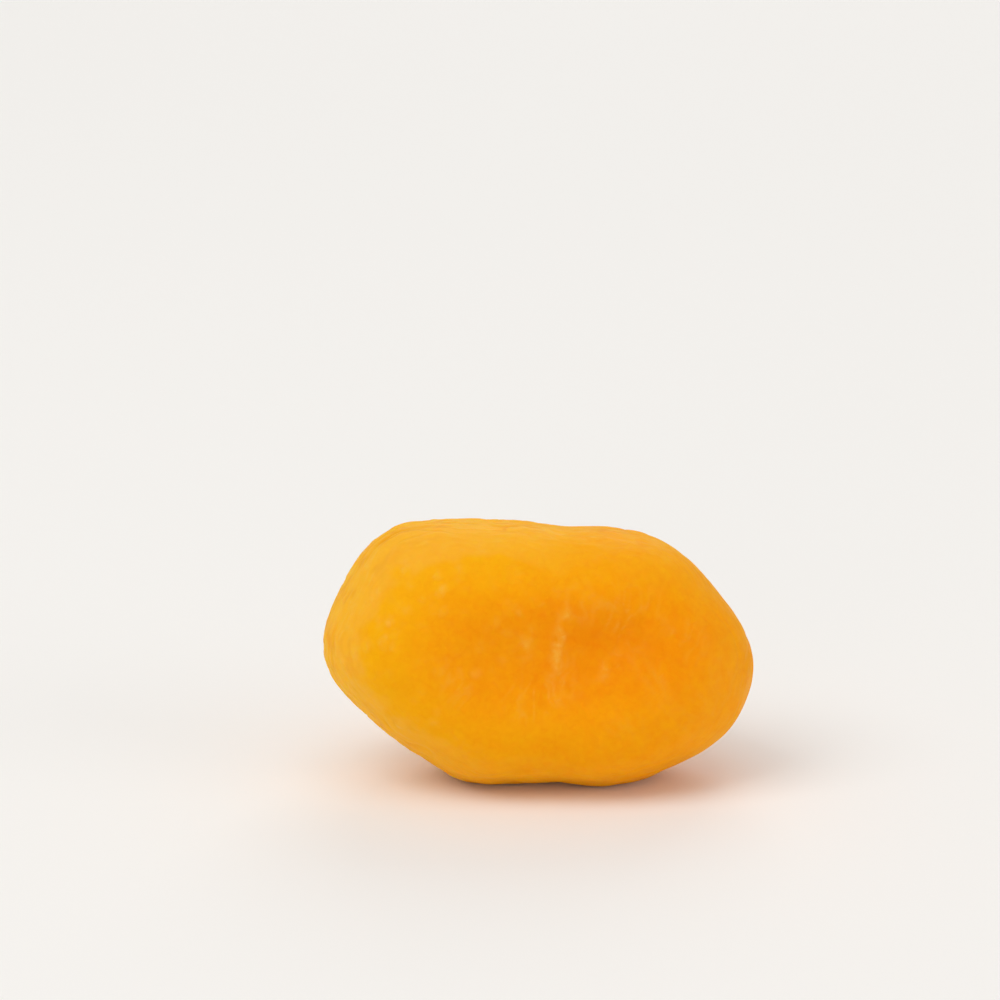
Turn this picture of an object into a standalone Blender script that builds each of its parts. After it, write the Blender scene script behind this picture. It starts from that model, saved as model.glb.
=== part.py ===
"""A whole pitted apricot, dried in one piece, in Blender 4.5.

Run it with blender --background --python part.py, or from Blender's text editor. The fruit is shaped lying
on its rear cheek, with its long axis along X and its front cheek up, and is then stood on its lower rim, as
it rests on a table with its front cheek towards -Y. The origin is on the table, under the fruit's middle.
"""

import math

import bmesh
import bpy
from mathutils import Matrix, Vector, noise

MM = 0.001

# Driving dimensions, in millimetres. The rim's radii are evenly spaced round the face, from its right end.
RIM_RADII = (
    19.0, 16.8, 15.1, 12.9, 11.5, 11.9, 13.7, 17.1, 18.4,
    19.0, 16.1, 13.8, 13.0, 11.7, 11.6, 13.4, 15.7, 18.4,
)
MEAN_RIM_RADIUS = 15.25
CHEEK_RADIUS = 12.0  # mean radius from rim to cheek
FRONT_BULGE = 10.2  # how far the front cheek stands out of the rim's plane, before its hollow sinks in
REAR_BULGE = 11.0
CHEEK_FULLNESS = 0.13  # 0 is a plain ellipse from rim to cheek, and more is a fuller, blunter rim
LEAN = math.radians(16)  # how far the face leans back from upright
SETTLE = 0.45  # how much of the lower rim the fruit's own weight flattens
SETTLE_ROUND = 0.5  # height over which the flattened foot rounds up into the rim

# Heights up a cheek, from 0 at the rim to 1 in its middle, over which the rim's skin turns into the cheek's.
RIM_BAND = (0.25, 0.8)

# The stone is gone, so each cheek has sunk in over it: centre x and y, radius along x and y, and depth.
FRONT_HOLLOW = (3.4, -0.8, 9.8, 4.3, 2.4)
REAR_HOLLOW = (-1.8, 0.4, 9.2, 5.2, 3.6)
HOLLOW_SWAY = 2.0  # how far a hollow's edge strays from a plain oval
HOLLOW_SWAY_SIZE = 9.0
HOLLOW_BAND = (0.0, 0.6)  # heights up a cheek over which its hollow comes in

# Pleats of skin cross each hollow and are pinched together over its middle.
PLEAT_WIDTH = 2.3
PLEAT_LENGTH = 6.5
PLEAT_PINCH = 0.3  # how much narrower a pleat is over the hollow's middle
PLEAT_SLANT = 0.25
PLEAT_STRAY = 1.4
PLEAT_STRAY_SIZE = 5.0
FRONT_PLEAT_HEIGHT = 0.12
REAR_PLEAT_HEIGHT = 0.36
PLEATS_AT_RIM = 0.2  # the share of a pleat's height that is left at the rim

# Round the rim, long wrinkles run with the rim. The skin of the front cheek is tauter than the rear one's.
WRINKLE_WIDTH = 2.1
WRINKLE_LENGTH = 7.0
WRINKLE_HEIGHT = 0.19
WRINKLE_STRAY = 2.0  # how far a wrinkle strays sideways
WRINKLE_STRAY_SIZE = 6.0
WRINKLE_JITTER = 0.6
WRINKLE_JITTER_SIZE = 2.4
FRONT_TAUTNESS = 0.6  # how much lower the wrinkles are on the front cheek's side of the rim
TAUT_BAND = (-0.3, 0.5)  # heights, below 0 on the rear cheek, over which the skin grows taut

# Wrinkles and pleats stand high in some patches of the skin and low in others.
PATCH_SIZE = 7.0
PATCH_EDGE = (-0.35, 0.35)
LOW_PATCH = 0.35
VALLEY_SHARE = 0.32  # how much of a wrinkle's width goes to the valleys beside it

# The closed slit that the stone was pushed out of, on the rear of the right-hand end.
SLIT_BEARING = math.radians(-6)
SLIT_LATITUDE = math.radians(-30)
SLIT_ACROSS = Vector((0.35, 0.0, -0.94))  # the way across the slit, along the skin
SLIT_LENGTH = 3.0
SLIT_WIDTH = 1.6
SLIT_DEPTH = 1.7
SLIT_PUCKERS = 9
SLIT_PUCKER_HEIGHT = 0.18
SLIT_PUCKER_REACH = 6.0
SLIT_PUCKER_START = (0.4, 1.2)  # in shares of the slit's own size
SLIT_PUCKER_END = (0.4, 1.0)  # in shares of the puckers' reach
SLIT_PUCKER_STRAY = 2.0
SLIT_PUCKER_STRAY_SIZE = 2.5

# The seam that every apricot has from stem to tip, here along the rear of the upper rim.
SEAM_LATITUDE = math.radians(-27)
SEAM_SWAY = math.radians(7)
SEAM_SWAY_TURNS = 2.3
SEAM_SWAY_START = 0.4
SEAM_WIDTH = math.radians(8)
SEAM_DEPTH = 0.75
SEAM_START = (0.0, 0.35)  # bearings over which it deepens, leaving the slit
SEAM_END = (2.3, 3.0)  # bearings over which it fades

# Soft lumps, where the flesh shrank unevenly.
LUMP_SIZE = 8.5
LUMP_HEIGHT = 0.40
LUMPS_AT_RIM = 0.4  # the share of a lump's height that is left at the rim

GRID = 30  # squares along each side of the cube that the ball is made from


def smooth_step(band, value):
    """Goes smoothly from 0 at the start of a band to 1 at its end."""
    share = min(1.0, max(0.0, (value - band[0]) / (band[1] - band[0])))
    return share * share * (3 - 2 * share)


def rim_radius(bearing):
    """The rim's radius at a bearing round the face: a smooth closed curve through the rim's radii."""
    count = len(RIM_RADII)
    place = bearing / math.tau * count
    index = math.floor(place)
    t = place - index
    before, start, end, after = (RIM_RADII[(index + k) % count] for k in (-1, 0, 1, 2))
    slope_in, slope_out = (end - before) / 2, (after - start) / 2
    bend = 3 * (end - start) - 2 * slope_in - slope_out
    twist = 2 * (start - end) + slope_in + slope_out
    return start + t * (slope_in + t * (bend + t * twist))


def wander(point, size, seed):
    """A smooth random value from -1 to 1 that changes over about that size."""
    return noise.noise(point / size + Vector((seed, 0.37 * seed, -0.71 * seed)))


def sunken_share(hollow, x, y):
    """How far a place has sunk in over the stone: 1 in the middle of the hollow, 0 away from it."""
    centre_x, centre_y, radius_x, radius_y, _ = hollow
    place = Vector((x, y, centre_x))
    across = (x - centre_x + HOLLOW_SWAY * wander(place, HOLLOW_SWAY_SIZE, seed=4.4)) / radius_x
    up = (y - centre_y + HOLLOW_SWAY * wander(place, HOLLOW_SWAY_SIZE, seed=9.6)) / radius_y
    return math.exp(-(across * across) - up * up)


def body_point(direction):
    """The fruit's plain body, in millimetres, for a direction from its middle: rim, cheeks and hollows."""
    bearing = math.atan2(direction.y, direction.x)
    flat = math.hypot(direction.x, direction.y)
    radius = rim_radius(bearing) * flat * (1 + CHEEK_FULLNESS * direction.z**2)
    x, y = radius * math.cos(bearing), radius * math.sin(bearing)
    if direction.z > 0:
        bulge, hollow = FRONT_BULGE, FRONT_HOLLOW
    else:
        bulge, hollow = REAR_BULGE, REAR_HOLLOW
    sunk = hollow[4] * sunken_share(hollow, x, y) * smooth_step(HOLLOW_BAND, abs(direction.z))
    height = bulge * abs(direction.z) - sunk
    return Vector((x, y, math.copysign(height, direction.z)))


def swollen(place):
    """Swollen cells of skin about one unit across, from 0 in the valleys between them to 1 on their tops."""
    nearest, second = noise.voronoi(place)[0][:2]
    return smooth_step((0.0, VALLEY_SHARE), second - nearest)


def rim_wrinkle(point, bearing, latitude):
    """Long cells of skin that lie along the rim."""
    stray = WRINKLE_STRAY * wander(point, WRINKLE_STRAY_SIZE, seed=3.1)
    jitter = WRINKLE_JITTER * wander(point, WRINKLE_JITTER_SIZE, seed=8.3)
    across = (latitude * CHEEK_RADIUS + stray + jitter) / WRINKLE_WIDTH
    along = MEAN_RIM_RADIUS / WRINKLE_LENGTH
    return swollen(Vector((along * math.cos(bearing), along * math.sin(bearing), across)))


def hollow_pleat(point, hollow):
    """Long cells of skin that cross a hollow, closer together over its middle."""
    x, y = point.x - hollow[0], point.y - hollow[1]
    stray = PLEAT_STRAY * wander(point, PLEAT_STRAY_SIZE, seed=5.7)
    width = PLEAT_WIDTH * (1 - PLEAT_PINCH * math.exp(-((y / hollow[3]) ** 2)))
    place = Vector(((x + stray + PLEAT_SLANT * y) / width, y / PLEAT_LENGTH, hollow[0]))
    return swollen(place) * math.sqrt(sunken_share(hollow, point.x, point.y))


def seam_groove(bearing, latitude):
    """The seam leaves the slit, crosses the rear of the upper rim and fades towards the tip."""
    if not 0 < bearing < math.pi:
        return 0.0
    path = SEAM_LATITUDE + SEAM_SWAY * math.sin(SEAM_SWAY_TURNS * bearing + SEAM_SWAY_START)
    shown = smooth_step(SEAM_START, bearing) * (1 - smooth_step(SEAM_END, bearing))
    return SEAM_DEPTH * shown * math.exp(-(((latitude - path) / SEAM_WIDTH) ** 2))


def direction_at(bearing, latitude):
    """The direction from the fruit's middle to a place on its skin, given as on a globe."""
    flat = math.cos(latitude)
    return Vector((flat * math.cos(bearing), flat * math.sin(bearing), math.sin(latitude)))


def slit_relief(point):
    """The slit's own dent, with short puckers drawn in towards it."""
    offset = point - body_point(direction_at(SLIT_BEARING, SLIT_LATITUDE))
    across = offset.dot(SLIT_ACROSS)
    distance = math.hypot(offset.y / SLIT_LENGTH, across / SLIT_WIDTH)
    start = smooth_step(SLIT_PUCKER_START, distance)
    end = smooth_step(SLIT_PUCKER_END, offset.length / SLIT_PUCKER_REACH)
    stray = SLIT_PUCKER_STRAY * wander(point, SLIT_PUCKER_STRAY_SIZE, seed=6.2)
    puckers = math.cos(SLIT_PUCKERS * math.atan2(across, offset.y) + stray)
    return SLIT_PUCKER_HEIGHT * puckers * start * (1 - end) - SLIT_DEPTH * math.exp(-distance * distance)


def skin_relief(point, direction):
    """How far the skin stands out of the plain body at a point, in millimetres."""
    bearing = math.atan2(direction.y, direction.x)
    latitude = math.asin(max(-1.0, min(1.0, direction.z)))
    rim = 1 - smooth_step(RIM_BAND, abs(direction.z))
    if direction.z > 0:
        hollow, pleat_height = FRONT_HOLLOW, FRONT_PLEAT_HEIGHT
    else:
        hollow, pleat_height = REAR_HOLLOW, REAR_PLEAT_HEIGHT
    patch = LOW_PATCH + (1 - LOW_PATCH) * smooth_step(PATCH_EDGE, wander(point, PATCH_SIZE, seed=12.4))
    slack = 1 - FRONT_TAUTNESS * smooth_step(TAUT_BAND, direction.z)
    lumps = LUMP_HEIGHT * wander(point, LUMP_SIZE, seed=1.9) * (1 - (1 - LUMPS_AT_RIM) * rim)
    wrinkles = WRINKLE_HEIGHT * rim_wrinkle(point, bearing, latitude) * rim * patch * slack
    pleats = pleat_height * hollow_pleat(point, hollow) * (1 - (1 - PLEATS_AT_RIM) * rim) * patch
    return lumps + wrinkles + pleats + slit_relief(point) - seam_groove(bearing, latitude)


def ball_mesh():
    """A ball of nearly even squares, blown up from a cube."""
    bm = bmesh.new()
    bmesh.ops.create_cube(bm, size=2)
    bmesh.ops.subdivide_edges(bm, edges=bm.edges, cuts=GRID - 1, use_grid_fill=True)
    for vertex in bm.verts:
        vertex.co = Vector(math.tan(math.pi / 4 * c) for c in vertex.co).normalized()
    return bm


def shape_fruit(bm):
    """Moves the ball's points out to the body, and then the body's points out or in by the skin's relief."""
    directions = [vertex.co.copy() for vertex in bm.verts]
    for vertex, direction in zip(bm.verts, directions):
        vertex.co = body_point(direction)
    bm.normal_update()
    normals = [vertex.normal.copy() for vertex in bm.verts]
    for vertex, direction, normal in zip(bm.verts, directions, normals):
        vertex.co += normal * skin_relief(vertex.co, direction)


def settled(height):
    """The height of a point once the fruit has settled: flat at the foot, rounding up into the rim."""
    above = height - SETTLE
    if above <= 0:
        return 0.0
    if above < SETTLE_ROUND:
        return above * above / (2 * SETTLE_ROUND)
    return above - SETTLE_ROUND / 2


def stand_up(bm):
    """Stands the fruit on its lower rim, settles its foot, and centres it over the origin."""
    upright = Matrix.Rotation(math.pi / 2 - LEAN, 3, "X")
    bmesh.ops.rotate(bm, verts=bm.verts, cent=Vector(), matrix=upright)
    lowest = min(vertex.co.z for vertex in bm.verts)
    for vertex in bm.verts:
        vertex.co.z = settled(vertex.co.z - lowest)
    for axis in (0, 1):
        ends = [vertex.co[axis] for vertex in bm.verts]
        middle = (min(ends) + max(ends)) / 2
        for vertex in bm.verts:
            vertex.co[axis] -= middle
    bmesh.ops.scale(bm, verts=bm.verts, vec=(MM, MM, MM))


def fruit_material():
    """Soft dried fruit skin: deep orange, satin, with no metal in it."""
    material = bpy.data.materials.new("dried_apricot_skin")
    material.use_nodes = True
    shader = material.node_tree.nodes["Principled BSDF"]
    shader.inputs["Base Color"].default_value = (0.90, 0.33, 0.015, 1.0)
    shader.inputs["Roughness"].default_value = 0.48
    shader.inputs["Metallic"].default_value = 0.0
    return material


def build_apricot():
    """The whole fruit as one closed solid."""
    bm = ball_mesh()
    shape_fruit(bm)
    stand_up(bm)
    bmesh.ops.triangulate(bm, faces=bm.faces, quad_method="SHORT_EDGE")
    bmesh.ops.recalc_face_normals(bm, faces=bm.faces)
    mesh = bpy.data.meshes.new("dried_apricot")
    bm.to_mesh(mesh)
    bm.free()
    mesh.shade_smooth()
    mesh.materials.append(fruit_material())
    apricot = bpy.data.objects.new("dried_apricot", mesh)
    bpy.context.scene.collection.objects.link(apricot)
    return apricot


def main():
    for old in list(bpy.data.objects):
        bpy.data.objects.remove(old)
    build_apricot()


main()
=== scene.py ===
"""The looks of a whole pitted dried apricot that stands on its lower rim in a pale studio, in Blender 4.5.

The fruit's form is worked out by the same rules as its solid, on a mesh four times as fine each way, with
the fine wrinkles of the skin on top. Its sizes are in millimetres until the last step of its making.
"""

import math

import bmesh
import bpy
from mathutils import Matrix, Vector, noise


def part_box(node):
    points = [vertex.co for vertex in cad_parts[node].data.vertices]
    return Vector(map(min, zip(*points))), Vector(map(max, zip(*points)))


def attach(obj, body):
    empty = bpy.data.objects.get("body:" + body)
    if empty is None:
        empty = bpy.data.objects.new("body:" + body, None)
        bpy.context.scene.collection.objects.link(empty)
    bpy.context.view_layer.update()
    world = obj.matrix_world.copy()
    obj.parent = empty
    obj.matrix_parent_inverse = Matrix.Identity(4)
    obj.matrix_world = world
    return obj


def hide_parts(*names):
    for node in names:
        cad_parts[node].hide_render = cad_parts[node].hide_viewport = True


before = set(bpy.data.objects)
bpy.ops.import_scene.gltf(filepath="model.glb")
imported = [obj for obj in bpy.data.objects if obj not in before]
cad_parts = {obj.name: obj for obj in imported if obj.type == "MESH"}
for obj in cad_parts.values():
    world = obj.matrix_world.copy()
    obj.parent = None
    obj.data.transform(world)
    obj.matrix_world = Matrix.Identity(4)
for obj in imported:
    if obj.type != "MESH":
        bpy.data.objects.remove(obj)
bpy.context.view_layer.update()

NODE = "dried_apricot"
MM = 0.001

# The fruit's form. The rim's radii are evenly spaced round the face, from its right end.
RIM_RADII = (
    19.0, 16.8, 15.1, 12.9, 11.5, 11.9, 13.7, 17.1, 18.4,
    19.0, 16.1, 13.8, 13.0, 11.7, 11.6, 13.4, 15.7, 18.4,
)
MEAN_RIM_RADIUS = 15.25
CHEEK_RADIUS = 12.0
FRONT_BULGE = 10.2
REAR_BULGE = 11.0
CHEEK_FULLNESS = 0.13
LEAN = math.radians(16)
SETTLE = 0.45
SETTLE_ROUND = 0.5

# Heights up a cheek, from 0 at the rim to 1 in its middle, over which rim skin turns into cheek skin.
RIM_BAND = (0.25, 0.8)

# The hollows over the missing stone: centre x and y, radius along x and y, and depth.
FRONT_HOLLOW = (3.4, -0.8, 9.8, 4.3, 2.4)
REAR_HOLLOW = (-1.8, 0.4, 9.2, 5.2, 3.6)
HOLLOW_SWAY = 2.0
HOLLOW_SWAY_SIZE = 9.0
HOLLOW_BAND = (0.0, 0.6)

# The pleats that cross each hollow.
PLEAT_WIDTH = 2.3
PLEAT_LENGTH = 6.5
PLEAT_PINCH = 0.3
PLEAT_SLANT = 0.25
PLEAT_STRAY = 1.4
PLEAT_STRAY_SIZE = 5.0
FRONT_PLEAT_HEIGHT = 0.12
REAR_PLEAT_HEIGHT = 0.36
PLEATS_AT_RIM = 0.2

# The long wrinkles that run with the rim.
WRINKLE_WIDTH = 2.1
WRINKLE_LENGTH = 7.0
WRINKLE_HEIGHT = 0.19
WRINKLE_STRAY = 2.0
WRINKLE_STRAY_SIZE = 6.0
WRINKLE_JITTER = 0.6
WRINKLE_JITTER_SIZE = 2.4
FRONT_TAUTNESS = 0.6
TAUT_BAND = (-0.3, 0.5)

# Wrinkles and pleats stand high in some patches of the skin and low in others.
PATCH_SIZE = 7.0
PATCH_EDGE = (-0.35, 0.35)
LOW_PATCH = 0.35
VALLEY_SHARE = 0.32

# The closed slit that the stone was pushed out of.
SLIT_BEARING = math.radians(-6)
SLIT_LATITUDE = math.radians(-30)
SLIT_ACROSS = Vector((0.35, 0.0, -0.94))
SLIT_LENGTH = 3.0
SLIT_WIDTH = 1.6
SLIT_DEPTH = 1.7
SLIT_PUCKERS = 9
SLIT_PUCKER_HEIGHT = 0.18
SLIT_PUCKER_REACH = 6.0
SLIT_PUCKER_START = (0.4, 1.2)
SLIT_PUCKER_END = (0.4, 1.0)
SLIT_PUCKER_STRAY = 2.0
SLIT_PUCKER_STRAY_SIZE = 2.5

# The seam from stem to tip.
SEAM_LATITUDE = math.radians(-27)
SEAM_SWAY = math.radians(7)
SEAM_SWAY_TURNS = 2.3
SEAM_SWAY_START = 0.4
SEAM_WIDTH = math.radians(8)
SEAM_DEPTH = 0.75
SEAM_START = (0.0, 0.35)
SEAM_END = (2.3, 3.0)

# Soft lumps, where the flesh shrank unevenly.
LUMP_SIZE = 8.5
LUMP_HEIGHT = 0.40
LUMPS_AT_RIM = 0.4

# Fine creases along the rim and across the hollows, which only this finer mesh has room for.
FINE_RIM_WIDTH = 1.30
FINE_RIM_LENGTH = 5.5
FINE_RIM_HEIGHT = 0.115
FINE_PLEAT_WIDTH = 0.95
FINE_PLEAT_LENGTH = 2.8
FINE_PLEAT_HEIGHT = 0.070
FINE_PATCH_SIZE = 4.0
FINE_PATCH_EDGE = (-0.4, 0.25)
LINE_SIZE = 1.8  # the creases' lines of painted shade come and go over about this length
LINE_EDGE = (-0.35, 0.45)

# Small pimples on the cheeks and folds, with a painted highlight on their tops.
PIMPLE_SIZE = 1.05
PIMPLE_ROUND = (0.0, 0.68)  # from its middle to its foot
PIMPLE_RISE = (-0.25, 0.35)  # some stand high and some low
PIMPLE_HEIGHT = 0.090
EVEN_HIGHLIGHT = 0.25  # the share of each pimple's painted highlight that it has anywhere: the rest comes towards the lit left side

# Thin raised streaks along the creases, with a painted highlight along each.
STREAK_WIDTH = 1.00  # from one streak to the next
RIM_STREAK_LENGTH = 5.0
HOLLOW_STREAK_LENGTH = 2.8
STREAK_SHARE = 0.24  # the noise value at which one has faded out
STREAK_HEIGHT = 0.020
STREAK_PATCH_SIZE = 4.0
STREAK_PATCH_EDGE = (-0.20, 0.35)
IN_HOLLOW = 0.7  # how strong a streak in a hollow is, against one along the rim
STREAK_HIGHLIGHT = 0.8  # how strong the painted highlight along a streak's middle is

# All of these patterns are shaken out of line, by a share of a crease's width.
SHAKE = 0.30
SHAKE_SIZE = 1.2
SHAKE_SEED = 1  # Blender would draw the shaking anew from the clock at each run

# The front's fine creases are strong towards one side and weak elsewhere. The rear is creased all over.
EVEN_CREASES = 0.40
CRINKLE_WAY = Vector((-0.7, 0.5, 0.0))
CRINKLE_BAND = (-0.5, 0.4)
REAR_BAND = (-0.35, 0.10)  # heights up the front cheek over which the rear's skin ends

# Low folds that part the front hollow into dents: x and y of each end, half width and height.
FRONT_FOLDS = (
    (2.3, 4.6, 1.3, -1.8, 0.42, 0.13),
    (-0.9, 2.6, -1.0, -0.4, 0.50, 0.08),
    (7.2, 0.6, 5.4, -2.2, 0.40, 0.08),
)
FOLD_STRAY = 0.5
FOLD_STRAY_SIZE = 2.2
FOLD_HALO = 1.2  # how much wider than the fold its painted highlight is
FOLD_HIGHLIGHT = 8.0  # how strong the painted highlight is for each millimetre that the fold stands up
FOLD_LUMP_SIZE = 0.8  # the highlight is stronger on small lumps
FOLD_LUMP_EDGE = (-0.50, 0.20)

# The slit's closed lips: a thin dark line along the middle of its dent.
LIP_LENGTH = 2.3
LIP_WIDTH = 0.30
LIP_DEPTH = 0.50
LIP_STRAY = 0.35
DENT_BROWN = 0.45  # how brown its dent is
LIP_BROWN = 0.75  # and how much more the lips are

# The orange of the flesh, from 0, yellow, to 1: deepest over the hollows as painted shade, and paler to the
# left and top as painted light.
MEAN_ORANGE = 0.30
PAINTED_ORANGE_TO_RIGHT = 0.015  # for each millimetre
PAINTED_ORANGE_TO_TOP = -0.004
HOLLOW_PAINTED_SHADE = 0.34
FRONT_PAINTED_SHADE = (0.0, 0.3, 12.3, 5.6)  # centre x and y, radius along x and y
REAR_PAINTED_SHADE = (-1.8, 0.4, 11.0, 6.0)

# A painted sheen: a pale band along the rim, strong on the lit left side and weak on the other.
PAINTED_SHEEN_BAND = (0.57, 0.67)  # heights up a cheek over which it ends
PAINTED_SHEEN_REACH = 0.22  # how much further onto the cheek it reaches from the top
PAINTED_SHEEN_SWAY = 0.12
PAINTED_SHEEN_SWAY_SIZE = 5.0
BLOTCH = 0.11  # how far up and down its ragged edge breaks up into blotches
BLOTCH_SIZE = 1.5
LIGHT_WAY = Vector((-0.95, 0.3, 0.0))
LIGHT_WAY_BAND = (-0.2, 0.9)
WEAK_PAINTED_SHEEN = 0.12

GRID = 125  # squares along each side of the cube that the ball is made from: 0.2 mm each on the fruit

# The patterns in the skin, by the width of their patches.
RIPE_PATCH = 9.0
MOTTLE = 1.6
GRAIN = 0.55
PORE = 0.22
FRUIT_MIDDLE_HEIGHT = 11.6  # where they start from

# How far each pattern shifts the orange of the flesh, up and down.
RIPE_SHIFT = 0.07
MOTTLE_SHIFT = 0.06
GRAIN_SHIFT = 0.08
NOISE_BAND = (0.3, 0.7)  # most values of a noise texture lie in this band
GRAIN_MIDDLE = (0.38, 0.62)  # a narrower band, for the painted highlights, parts high grains from low ones

# How far each layer on the flesh covers it where the layer is whole: the painted sheen, the painted
# highlights, the painted shade in the creases, and the slit's brown.
PAINTED_SHEEN_COVER = 0.42
HIGHLIGHT_COVER = (0.20, 0.60)  # the painted highlights, from the low grains to the high ones
CREASE_SHADE_COVER = 0.44
SLIT_BAND = (0.1, 1.0)
SLIT_COVER = 0.8

SKIN_ROUGHNESS = (0.44, 0.60)
GRAIN_BUMP = 0.08
PORE_BUMP = 0.02

# The photograph's view: 11.25 pixels a millimetre at the fruit, seen from a little above.
VIEW_ELEVATION = math.radians(15.5)
FOCAL_LENGTH = 150.0
SENSOR_WIDTH = 36.0
VIEW_WIDTH = 88.9  # millimetres across the whole picture at the fruit
FRUIT_RIGHT_OF_CENTRE = 3.4
FRUIT_BELOW_CENTRE = 13.2

SOFT_BOX_DISTANCE = 1.3  # metres
SOFT_BOX_SIZE = 0.8  # metres
FLOOR_RADIUS = 3.0  # metres
FLOOR_SIDES = 96

WHITE_SKY = 0.56
# The soft boxes: degrees to the right of the camera, degrees up, and light on a surface that faces one.
SOFT_BOXES = {
    "key_light": (-58, 54, 0.31),
    "top_light": (10, 78, 0.12),
    "right_light": (66, 14, 0.18),
    "low_light": (-10, 3, 0.15),
    "back_light": (170, 34, 0.20),
}


def linear(hex_colour):
    """A colour for a shader socket from an sRGB hex value."""
    shares = [int(hex_colour[i:i + 2], 16) / 255 for i in (1, 3, 5)]
    return tuple(c / 12.92 if c <= 0.04045 else ((c + 0.055) / 1.055) ** 2.4 for c in shares) + (1.0,)


def add_node(tree, kind, settings=None, values=None, links=None):
    """Adds a node. Each link names or numbers an input, and gives the node and the output that feed it."""
    node = tree.nodes.new(kind)
    for name, value in (settings or {}).items():
        setattr(node, name, value)
    for name, value in (values or {}).items():
        node.inputs[name].default_value = value
    for name, (source, output) in (links or {}).items():
        tree.links.new(source.outputs[output], node.inputs[name])
    return node


def smooth_step(band, value):
    """Goes smoothly from 0 at the start of a band to 1 at its end."""
    share = min(1.0, max(0.0, (value - band[0]) / (band[1] - band[0])))
    return share * share * (3 - 2 * share)


def rim_radius(bearing):
    """The rim's radius at a bearing round the face: a smooth closed curve through the rim's radii."""
    count = len(RIM_RADII)
    place = bearing / math.tau * count
    index = math.floor(place)
    t = place - index
    before, start, end, after = (RIM_RADII[(index + k) % count] for k in (-1, 0, 1, 2))
    slope_in, slope_out = (end - before) / 2, (after - start) / 2
    bend = 3 * (end - start) - 2 * slope_in - slope_out
    twist = 2 * (start - end) + slope_in + slope_out
    return start + t * (slope_in + t * (bend + t * twist))


def wander(point, size, seed):
    """A smooth random value from -1 to 1 that changes over about that size."""
    return noise.noise(point / size + Vector((seed, 0.37 * seed, -0.71 * seed)))


def sunken_share(hollow, x, y):
    """How far a place has sunk in over the stone: 1 in the middle of the hollow, 0 away from it."""
    centre_x, centre_y, radius_x, radius_y, _ = hollow
    place = Vector((x, y, centre_x))
    across = (x - centre_x + HOLLOW_SWAY * wander(place, HOLLOW_SWAY_SIZE, seed=4.4)) / radius_x
    up = (y - centre_y + HOLLOW_SWAY * wander(place, HOLLOW_SWAY_SIZE, seed=9.6)) / radius_y
    return math.exp(-(across * across) - up * up)


def body_point(direction):
    """The fruit's plain body, in millimetres, for a direction from its middle: rim, cheeks and hollows."""
    bearing = math.atan2(direction.y, direction.x)
    flat = math.hypot(direction.x, direction.y)
    radius = rim_radius(bearing) * flat * (1 + CHEEK_FULLNESS * direction.z**2)
    x, y = radius * math.cos(bearing), radius * math.sin(bearing)
    if direction.z > 0:
        bulge, hollow = FRONT_BULGE, FRONT_HOLLOW
    else:
        bulge, hollow = REAR_BULGE, REAR_HOLLOW
    sunk = hollow[4] * sunken_share(hollow, x, y) * smooth_step(HOLLOW_BAND, abs(direction.z))
    height = bulge * abs(direction.z) - sunk
    return Vector((x, y, math.copysign(height, direction.z)))


def rim_place(point, bearing, latitude, width, length):
    """Where a point of the skin lies in a pattern of wrinkles that run with the rim."""
    stray = WRINKLE_STRAY * wander(point, WRINKLE_STRAY_SIZE, seed=3.1)
    jitter = WRINKLE_JITTER * wander(point, WRINKLE_JITTER_SIZE, seed=8.3)
    across = (latitude * CHEEK_RADIUS + stray + jitter) / width
    along = MEAN_RIM_RADIUS / length
    return Vector((along * math.cos(bearing), along * math.sin(bearing), across))


def hollow_place(point, hollow, width, length):
    """Where a point of the skin lies in a pattern of pleats across a hollow, closest over its middle."""
    x, y = point.x - hollow[0], point.y - hollow[1]
    stray = PLEAT_STRAY * wander(point, PLEAT_STRAY_SIZE, seed=5.7)
    width = width * (1 - PLEAT_PINCH * math.exp(-((y / hollow[3]) ** 2)))
    return Vector(((x + stray + PLEAT_SLANT * y) / width, y / length, hollow[0]))


def swollen(place):
    """Swollen cells of skin about one unit across, from 0 in the valleys between them to 1 on top."""
    nearest, second = noise.voronoi(place)[0][:2]
    return smooth_step((0.0, VALLEY_SHARE), second - nearest)


def streak(place):
    """Thin streaks about one unit apart, from 0 between them to 1 along their middles."""
    return 1 - smooth_step((0.0, STREAK_SHARE), abs(noise.noise(place)))


def pimple(place):
    """Rounded pimples about one unit apart, from 0 between them to 1 on the middles of the highest."""
    distances, middles = noise.voronoi(place)
    rise = smooth_step(PIMPLE_RISE, noise.noise(middles[0]))
    return rise * (1 - smooth_step(PIMPLE_ROUND, distances[0]))


def seam_groove(bearing, latitude):
    """The seam leaves the slit, crosses the rear of the upper rim and fades towards the tip."""
    if not 0 < bearing < math.pi:
        return 0.0
    path = SEAM_LATITUDE + SEAM_SWAY * math.sin(SEAM_SWAY_TURNS * bearing + SEAM_SWAY_START)
    shown = smooth_step(SEAM_START, bearing) * (1 - smooth_step(SEAM_END, bearing))
    return SEAM_DEPTH * shown * math.exp(-(((latitude - path) / SEAM_WIDTH) ** 2))


def direction_at(bearing, latitude):
    """The direction from the fruit's middle to a place on its skin, given as on a globe."""
    flat = math.cos(latitude)
    return Vector((flat * math.cos(bearing), flat * math.sin(bearing), math.sin(latitude)))


def slit_offset(point):
    """How far a point lies along and across the slit, and from its middle."""
    offset = point - body_point(direction_at(SLIT_BEARING, SLIT_LATITUDE))
    return offset.y, offset.dot(SLIT_ACROSS), offset.length


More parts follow.
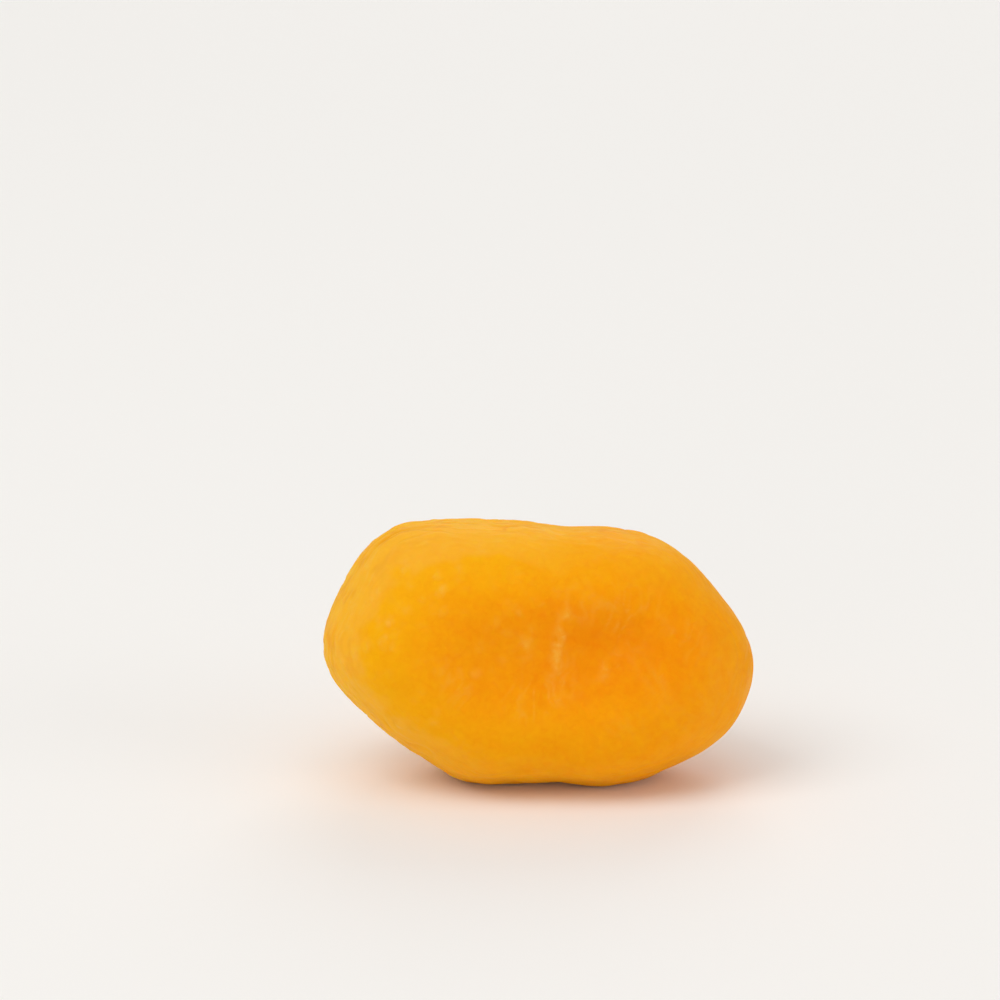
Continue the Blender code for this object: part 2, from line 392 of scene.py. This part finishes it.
def slit_relief(point):
    """The slit's own dent, with short puckers drawn in towards it."""
    along, across, far = slit_offset(point)
    distance = math.hypot(along / SLIT_LENGTH, across / SLIT_WIDTH)
    start = smooth_step(SLIT_PUCKER_START, distance)
    end = smooth_step(SLIT_PUCKER_END, far / SLIT_PUCKER_REACH)
    stray = SLIT_PUCKER_STRAY * wander(point, SLIT_PUCKER_STRAY_SIZE, seed=6.2)
    puckers = math.cos(SLIT_PUCKERS * math.atan2(across, along) + stray)
    return SLIT_PUCKER_HEIGHT * puckers * start * (1 - end) - SLIT_DEPTH * math.exp(-distance * distance)


def closed_lips(point):
    """The thin line where the slit's lips meet: 1 along it, 0 away from it."""
    along, across, far = slit_offset(point)
    if far > 2 * LIP_LENGTH:
        return 0.0
    across += LIP_STRAY * wander(point, LIP_LENGTH, seed=4.7)
    return math.exp(-((across / LIP_WIDTH) ** 2) - (along / LIP_LENGTH) ** 6)


def front_folds(point):
    """How high the front hollow's low folds stand at a point, and how strong a painted highlight lies on
    them.
    """
    height, fold_highlight = 0.0, 0.0
    lump = smooth_step(FOLD_LUMP_EDGE, wander(point, FOLD_LUMP_SIZE, seed=27.5))
    place = Vector((point.x, point.y))
    place.x += FOLD_STRAY * wander(point, FOLD_STRAY_SIZE, seed=7.9)
    for start_x, start_y, end_x, end_y, half_width, fold_height in FRONT_FOLDS:
        start, run = Vector((start_x, start_y)), Vector((end_x - start_x, end_y - start_y))
        along = (place - start).dot(run) / run.length_squared
        away = (place - start - run * along).length
        reach = math.exp(-((2 * along - 1) ** 4))
        height += fold_height * reach * math.exp(-((away / half_width) ** 2))
        halo = reach * math.exp(-((away / half_width / FOLD_HALO) ** 2))
        fold_highlight = max(fold_highlight, FOLD_HIGHLIGHT * fold_height * lump * halo)
    return height, fold_highlight


def coarse_relief(point, direction, hollow, bearing, latitude, rim):
    """The relief that the solid has too: lumps, wrinkles, pleats, slit and seam."""
    pleat_height = FRONT_PLEAT_HEIGHT if direction.z > 0 else REAR_PLEAT_HEIGHT
    patch = LOW_PATCH + (1 - LOW_PATCH) * smooth_step(PATCH_EDGE, wander(point, PATCH_SIZE, seed=12.4))
    slack = 1 - FRONT_TAUTNESS * smooth_step(TAUT_BAND, direction.z)
    lumps = LUMP_HEIGHT * wander(point, LUMP_SIZE, seed=1.9) * (1 - (1 - LUMPS_AT_RIM) * rim)
    wrinkle = swollen(rim_place(point, bearing, latitude, WRINKLE_WIDTH, WRINKLE_LENGTH))
    wrinkles = WRINKLE_HEIGHT * wrinkle * rim * patch * slack
    sunken = math.sqrt(sunken_share(hollow, point.x, point.y))
    pleat = swollen(hollow_place(point, hollow, PLEAT_WIDTH, PLEAT_LENGTH)) * sunken
    pleats = pleat_height * pleat * (1 - (1 - PLEATS_AT_RIM) * rim) * patch
    return lumps + wrinkles + pleats + slit_relief(point) - seam_groove(bearing, latitude)


def fine_relief(point, direction, hollow, bearing, latitude, rim, painted_sheen):
    """The relief of the skin alone, and from 0 to 1 its painted highlights and the painted shade in its
    creases.
    """
    sunken = math.sqrt(sunken_share(hollow, point.x, point.y))
    slack = 1 - FRONT_TAUTNESS * smooth_step(TAUT_BAND, direction.z)
    rear = 1 - smooth_step(REAR_BAND, direction.z)
    sided = max(rear, smooth_step(CRINKLE_BAND, direction.dot(CRINKLE_WAY)))
    share = EVEN_CREASES + (1 - EVEN_CREASES) * sided
    patch = max(painted_sheen, share * smooth_step(FINE_PATCH_EDGE, wander(point, FINE_PATCH_SIZE, seed=21.7)))
    shake = SHAKE * noise.noise_vector(point / SHAKE_SIZE)
    rim_cell = swollen(rim_place(point, bearing, latitude, FINE_RIM_WIDTH, FINE_RIM_LENGTH) + shake)
    pleat_cell = swollen(hollow_place(point, hollow, FINE_PLEAT_WIDTH, FINE_PLEAT_LENGTH) + shake)
    creases = FINE_RIM_HEIGHT * rim_cell * rim * slack + FINE_PLEAT_HEIGHT * pleat_cell * sunken

    streak_patch = max(painted_sheen, smooth_step(STREAK_PATCH_EDGE, wander(point, STREAK_PATCH_SIZE, seed=15.2)))
    rim_streak = streak(rim_place(point, bearing, latitude, STREAK_WIDTH, RIM_STREAK_LENGTH) + shake) * rim
    hollow_streak = streak(hollow_place(point, hollow, STREAK_WIDTH, HOLLOW_STREAK_LENGTH) + shake) * sunken
    streaks = (share * rim_streak + IN_HOLLOW * hollow_streak) * streak_patch

    folds, on_fold = front_folds(point) if direction.z > 0 else (0.0, 0.0)
    pimples = pimple(point / PIMPLE_SIZE + shake) * (1 - rim) * max(patch, on_fold)
    relief = creases * patch + STREAK_HEIGHT * streaks + PIMPLE_HEIGHT * pimples + folds
    relief -= LIP_DEPTH * closed_lips(point)
    # Painted highlights on the tops of the streaks, pimples and folds; the pimples' is strongest on the lit
    # left side.
    toward_light = EVEN_HIGHLIGHT + (1 - EVEN_HIGHLIGHT) * smooth_step(LIGHT_WAY_BAND, direction.dot(LIGHT_WAY))
    painted_highlight = min(1.0, STREAK_HIGHLIGHT * streaks + toward_light * pimples + on_fold)
    # Painted shade in the valleys between the rim's fine creases, in patches.
    shown = smooth_step(LINE_EDGE, wander(point, LINE_SIZE, seed=23.1))
    return relief, painted_highlight, (1 - rim_cell) * rim * patch * shown


def orange_of(point, direction):
    """How orange a point of the skin is, from 0, yellow, to 1: the flesh's own orange, deeper over the
    hollows as painted shade and paler to the left and top as painted light.
    """
    centre_x, centre_y, radius_x, radius_y = FRONT_PAINTED_SHADE if direction.z > 0 else REAR_PAINTED_SHADE
    distance = math.hypot((point.x - centre_x) / radius_x, (point.y - centre_y) / radius_y)
    hollow = math.exp(-(distance**4)) * smooth_step(HOLLOW_BAND, abs(direction.z))
    # The flesh's mean orange, with painted light towards the left and top and painted shade over the hollow.
    return MEAN_ORANGE + PAINTED_ORANGE_TO_RIGHT * point.x + PAINTED_ORANGE_TO_TOP * point.y + HOLLOW_PAINTED_SHADE * hollow


def painted_sheen_of(point, direction):
    """How much painted sheen lies on the rim at a point, from 0 to 1: a pale band, strongest on the lit left
    side.
    """
    sway = PAINTED_SHEEN_SWAY * wander(point, PAINTED_SHEEN_SWAY_SIZE, seed=17.3)
    sway += BLOTCH * wander(point, BLOTCH_SIZE, seed=2.6)
    height = abs(direction.z) + sway - PAINTED_SHEEN_REACH * max(0.0, direction.y)
    band = 1 - smooth_step(PAINTED_SHEEN_BAND, height)
    strong = smooth_step(LIGHT_WAY_BAND, direction.dot(LIGHT_WAY))
    return band * (WEAK_PAINTED_SHEEN + (1 - WEAK_PAINTED_SHEEN) * strong)


def ball_mesh():
    """A ball of nearly even squares, blown up from a cube."""
    bm = bmesh.new()
    bmesh.ops.create_cube(bm, size=2)
    bmesh.ops.subdivide_edges(bm, edges=bm.edges, cuts=GRID - 1, use_grid_fill=True)
    for vertex in bm.verts:
        vertex.co = Vector(math.tan(math.pi / 4 * c) for c in vertex.co).normalized()
    return bm


def shape_fruit(bm):
    """Moves the ball's points out to the body and then by the skin's relief, and keeps what colours it."""
    orange, painted_highlight, painted_crease_shade, painted_sheen, slit = (
        bm.verts.layers.float.new(name) for name in ("orange", "painted_highlight", "painted_crease_shade", "painted_sheen", "slit")
    )
    directions = [vertex.co.copy() for vertex in bm.verts]
    for vertex, direction in zip(bm.verts, directions):
        vertex.co = body_point(direction)
    bm.normal_update()
    normals = [vertex.normal.copy() for vertex in bm.verts]
    for vertex, direction, normal in zip(bm.verts, directions, normals):
        place = vertex.co.copy()
        hollow = FRONT_HOLLOW if direction.z > 0 else REAR_HOLLOW
        bearing = math.atan2(direction.y, direction.x)
        latitude = math.asin(max(-1.0, min(1.0, direction.z)))
        rim = 1 - smooth_step(RIM_BAND, abs(direction.z))
        coarse = coarse_relief(place, direction, hollow, bearing, latitude, rim)
        # Kept on the points for the shader: the painted sheen, the painted highlights, the painted shade in
        # the creases, and the orange with its painted shade and light.
        vertex[painted_sheen] = painted_sheen_of(place, direction)
        fine, vertex[painted_highlight], vertex[painted_crease_shade] = fine_relief(
            place, direction, hollow, bearing, latitude, rim, vertex[painted_sheen]
        )
        vertex[orange] = orange_of(place, direction)
        dent = math.exp(-((slit_offset(place)[2] / SLIT_LENGTH) ** 2))
        vertex[slit] = min(1.0, DENT_BROWN * dent + LIP_BROWN * closed_lips(place))
        vertex.co = place + normal * (coarse + fine)


def settled(height):
    """The height of a point once the fruit has settled: flat at the foot, rounding up into the rim."""
    above = height - SETTLE
    if above <= 0:
        return 0.0
    if above < SETTLE_ROUND:
        return above * above / (2 * SETTLE_ROUND)
    return above - SETTLE_ROUND / 2


def stand_up(bm):
    """Stands the fruit on its lower rim, settles its foot, and fits it to its solid's box, in metres."""
    upright = Matrix.Rotation(math.pi / 2 - LEAN, 3, "X")
    bmesh.ops.rotate(bm, verts=bm.verts, cent=Vector(), matrix=upright)
    lowest = min(vertex.co.z for vertex in bm.verts)
    for vertex in bm.verts:
        vertex.co.z = settled(vertex.co.z - lowest)
    low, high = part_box(NODE)
    for axis in range(3):
        ends = [vertex.co[axis] for vertex in bm.verts]
        near, far = min(ends), max(ends)
        stretch = (high[axis] - low[axis]) / (far - near)
        for vertex in bm.verts:
            vertex.co[axis] = low[axis] + (vertex.co[axis] - near) * stretch


def dried_fruit_skin():
    """Skin of a moist, sulphured dried apricot: thin, translucent and satin over soft orange flesh.

    Light sinks in and spreads, red furthest, so shadows stay warm. The flesh goes from amber yellow to deep
    orange, deepest in the hollows as painted shade and paler to the left and top as painted light. Painted
    highlights lie on streaks, pimples and folds, painted shade in the creases, and a painted sheen along the
    rim.
    """
    material = bpy.data.materials.new("dried_apricot_skin")
    material.use_nodes = True
    tree = material.node_tree
    shader = tree.nodes["Principled BSDF"]
    shader.inputs["Metallic"].default_value = 0.0
    shader.inputs["IOR"].default_value = 1.45
    shader.inputs["Specular IOR Level"].default_value = 0.05
    shader.inputs["Subsurface Weight"].default_value = 0.6
    shader.inputs["Subsurface Radius"].default_value = (1.0, 0.32, 0.05)
    shader.inputs["Subsurface Scale"].default_value = 1.2 * MM
    shader.inputs["Sheen Weight"].default_value = 0.04
    shader.inputs["Sheen Roughness"].default_value = 0.4
    shader.inputs["Sheen Tint"].default_value = linear("#ffb040")

    place = add_node(tree, "ShaderNodeTexCoord")
    centred = add_node(
        tree, "ShaderNodeMapping", {}, {"Location": (0.0, 0.0, -FRUIT_MIDDLE_HEIGHT * MM)},
        {"Vector": (place, "Object")}
    )
    ripeness, mottle, grain, pores = (
        add_node(
            tree, "ShaderNodeTexNoise", {},
            {"Scale": 1 / (size * MM), "Detail": detail, "Distortion": distortion},
            {"Vector": (centred, "Vector")}
        )
        for size, detail, distortion in ((RIPE_PATCH, 2, 0), (MOTTLE, 3, 0), (GRAIN, 3, 0.7), (PORE, 2, 0))
    )

    # The flesh: its own orange with painted shade over the hollows and painted light towards the left and
    # top, ripened in patches, mottled and grained.
    share = (add_node(tree, "ShaderNodeAttribute", {"attribute_name": "orange"}), "Fac")
    for pattern, shift in ((ripeness, RIPE_SHIFT), (mottle, MOTTLE_SHIFT), (grain, GRAIN_SHIFT)):
        shifted = add_node(
            tree, "ShaderNodeMapRange", {},
            {"From Min": NOISE_BAND[0], "From Max": NOISE_BAND[1], "To Min": -shift, "To Max": shift},
            {"Value": (pattern, "Fac")}
        )
        total = add_node(
            tree, "ShaderNodeMath", {"operation": "ADD"}, {}, {0: share, 1: (shifted, "Result")}
        )
        share = (total, "Value")
    flesh_and_painted_light = add_node(
        tree, "ShaderNodeMix", {"data_type": "RGBA", "clamp_factor": True},
        {6: linear("#ffb408"), 7: linear("#f18500")}, {0: share}
    )

    # The skin over it: a painted sheen along the rim, painted highlights on streaks, pimples and folds,
    # painted shade in its creases, and brown in the slit.
    painted_sheen, painted_highlight, painted_crease_shade, slit = (
        add_node(tree, "ShaderNodeAttribute", {"attribute_name": layer})
        for layer in ("painted_sheen", "painted_highlight", "painted_crease_shade", "slit")
    )
    painted_sheen_share = add_node(
        tree, "ShaderNodeMath", {"operation": "MULTIPLY"}, {1: PAINTED_SHEEN_COVER}, {0: (painted_sheen, "Fac")}
    )
    # The painted highlights are stronger on the high grains.
    highlight_grain = add_node(
        tree, "ShaderNodeMapRange", {},
        {
            "From Min": GRAIN_MIDDLE[0], "From Max": GRAIN_MIDDLE[1],
            "To Min": HIGHLIGHT_COVER[0], "To Max": HIGHLIGHT_COVER[1],
        },
        {"Value": (grain, "Fac")}
    )
    painted_highlight_share = add_node(
        tree, "ShaderNodeMath", {"operation": "MULTIPLY"}, {}, {0: (painted_highlight, "Fac"), 1: (highlight_grain, "Result")}
    )
    painted_crease_shade_share = add_node(
        tree, "ShaderNodeMath", {"operation": "MULTIPLY"}, {1: CREASE_SHADE_COVER}, {0: (painted_crease_shade, "Fac")}
    )
    slit_share = add_node(
        tree, "ShaderNodeMapRange", {},
        {"From Min": SLIT_BAND[0], "From Max": SLIT_BAND[1], "To Max": SLIT_COVER}, {"Value": (slit, "Fac")}
    )
    skin = flesh_and_painted_light
    for cover, colour in (
        # painted sheen along the rim
        ((painted_sheen_share, "Value"), "#ffb942"),
        # painted highlights on streaks, pimples and folds
        ((painted_highlight_share, "Value"), "#ffc250"),
        # painted shade in the creases
        ((painted_crease_shade_share, "Value"), "#e68a04"),
        ((slit_share, "Result"), "#9c4a06"),
    ):
        skin = add_node(
            tree, "ShaderNodeMix", {"data_type": "RGBA", "clamp_factor": True},
            {7: linear(colour)}, {0: cover, 6: (skin, 2)}
        )
    tree.links.new(skin.outputs[2], shader.inputs["Base Color"])

    roughness = add_node(
        tree, "ShaderNodeMapRange", {},
        {
            "From Min": NOISE_BAND[0], "From Max": NOISE_BAND[1],
            "To Min": SKIN_ROUGHNESS[0], "To Max": SKIN_ROUGHNESS[1],
        },
        {"Value": (mottle, "Fac")}
    )
    tree.links.new(roughness.outputs["Result"], shader.inputs["Roughness"])
    grain_bump = add_node(
        tree, "ShaderNodeBump", {}, {"Strength": 0.7, "Distance": GRAIN_BUMP * MM},
        {"Height": (grain, "Fac")}
    )
    pore_bump = add_node(
        tree, "ShaderNodeBump", {}, {"Strength": 0.5, "Distance": PORE_BUMP * MM},
        {"Height": (pores, "Fac"), "Normal": (grain_bump, "Normal")}
    )
    tree.links.new(pore_bump.outputs["Normal"], shader.inputs["Normal"])
    return material


def fruit_skin():
    """The whole fruit's outside, in one closed piece that stands for the solid."""
    bm = ball_mesh()
    shape_fruit(bm)
    stand_up(bm)
    bmesh.ops.recalc_face_normals(bm, faces=bm.faces)
    mesh = bpy.data.meshes.new("apricot_skin")
    bm.to_mesh(mesh)
    bm.free()
    mesh.shade_smooth()
    mesh.materials.append(dried_fruit_skin())
    skin = bpy.data.objects.new("apricot_skin", mesh)
    bpy.context.scene.collection.objects.link(skin)
    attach(skin, "root")
    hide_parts(NODE)


def studio_floor():
    """A plain pale floor of matt painted board, wide enough to reach past every view of the fruit."""
    bm = bmesh.new()
    bmesh.ops.create_circle(bm, cap_ends=True, segments=FLOOR_SIDES, radius=FLOOR_RADIUS)
    mesh = bpy.data.meshes.new("studio_floor")
    bm.to_mesh(mesh)
    bm.free()
    material = bpy.data.materials.new("matt_white_board")
    material.use_nodes = True
    shader = material.node_tree.nodes["Principled BSDF"]
    shader.inputs["Base Color"].default_value = linear("#f6f4f1")
    shader.inputs["Roughness"].default_value = 0.85
    shader.inputs["Specular IOR Level"].default_value = 0.1
    mesh.materials.append(material)
    floor = bpy.data.objects.new("studio_floor", mesh)
    bpy.context.scene.collection.objects.link(floor)


def soft_light(name, side, height, lit):
    """A square soft box that is aimed at the fruit, from so many degrees right of the camera and so many up.

    How lit says what light it lays on a surface facing it, against that of a white sky.
    """
    bearing, elevation = math.radians(side), math.radians(height)
    back = Vector((
        math.sin(bearing) * math.cos(elevation),
        -math.cos(bearing) * math.cos(elevation),
        math.sin(elevation),
    ))
    light = bpy.data.lights.new(name, "AREA")
    light.shape = "SQUARE"
    light.size = SOFT_BOX_SIZE
    light.energy = lit * math.pi**2 * SOFT_BOX_DISTANCE**2
    lamp = bpy.data.objects.new(name, light)
    bpy.context.scene.collection.objects.link(lamp)
    lamp.location = back * SOFT_BOX_DISTANCE
    lamp.rotation_euler = (-back).to_track_quat("-Z", "Y").to_euler()


def studio_light():
    """An even white studio, with soft boxes at the upper left, on top, at the right, in front and behind."""
    world = bpy.data.worlds.new("pale_studio")
    world.use_nodes = True
    world.node_tree.nodes["Background"].inputs["Color"].default_value = linear("#f4f3f1")
    world.node_tree.nodes["Background"].inputs["Strength"].default_value = WHITE_SKY
    bpy.context.scene.world = world
    for name, (side, height, lit) in SOFT_BOXES.items():
        soft_light(name, side, height, lit)


def photo_camera():
    """A long lens at the photograph's angle, with the fruit as large and in the same place as there."""
    low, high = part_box(NODE)
    forward = Vector((0.0, math.cos(VIEW_ELEVATION), -math.sin(VIEW_ELEVATION)))
    up = Vector((0.0, math.sin(VIEW_ELEVATION), math.cos(VIEW_ELEVATION)))
    right = Vector((1.0, 0.0, 0.0))
    aim = (low + high) / 2 + (up * FRUIT_BELOW_CENTRE - right * FRUIT_RIGHT_OF_CENTRE) * MM
    lens = bpy.data.cameras.new("photo_camera")
    lens.sensor_width = SENSOR_WIDTH
    lens.lens = FOCAL_LENGTH
    lens.clip_start = 0.01
    lens.clip_end = 20.0
    camera = bpy.data.objects.new("photo_camera", lens)
    bpy.context.scene.collection.objects.link(camera)
    camera.location = aim - forward * (VIEW_WIDTH * MM * FOCAL_LENGTH / SENSOR_WIDTH)
    camera.rotation_euler = forward.to_track_quat("-Z", "Y").to_euler()
    bpy.context.scene.camera = camera


bpy.context.scene.view_settings.view_transform = "Standard"
photo_camera()
studio_light()
studio_floor()
noise.seed_set(SHAKE_SEED)
fruit_skin()
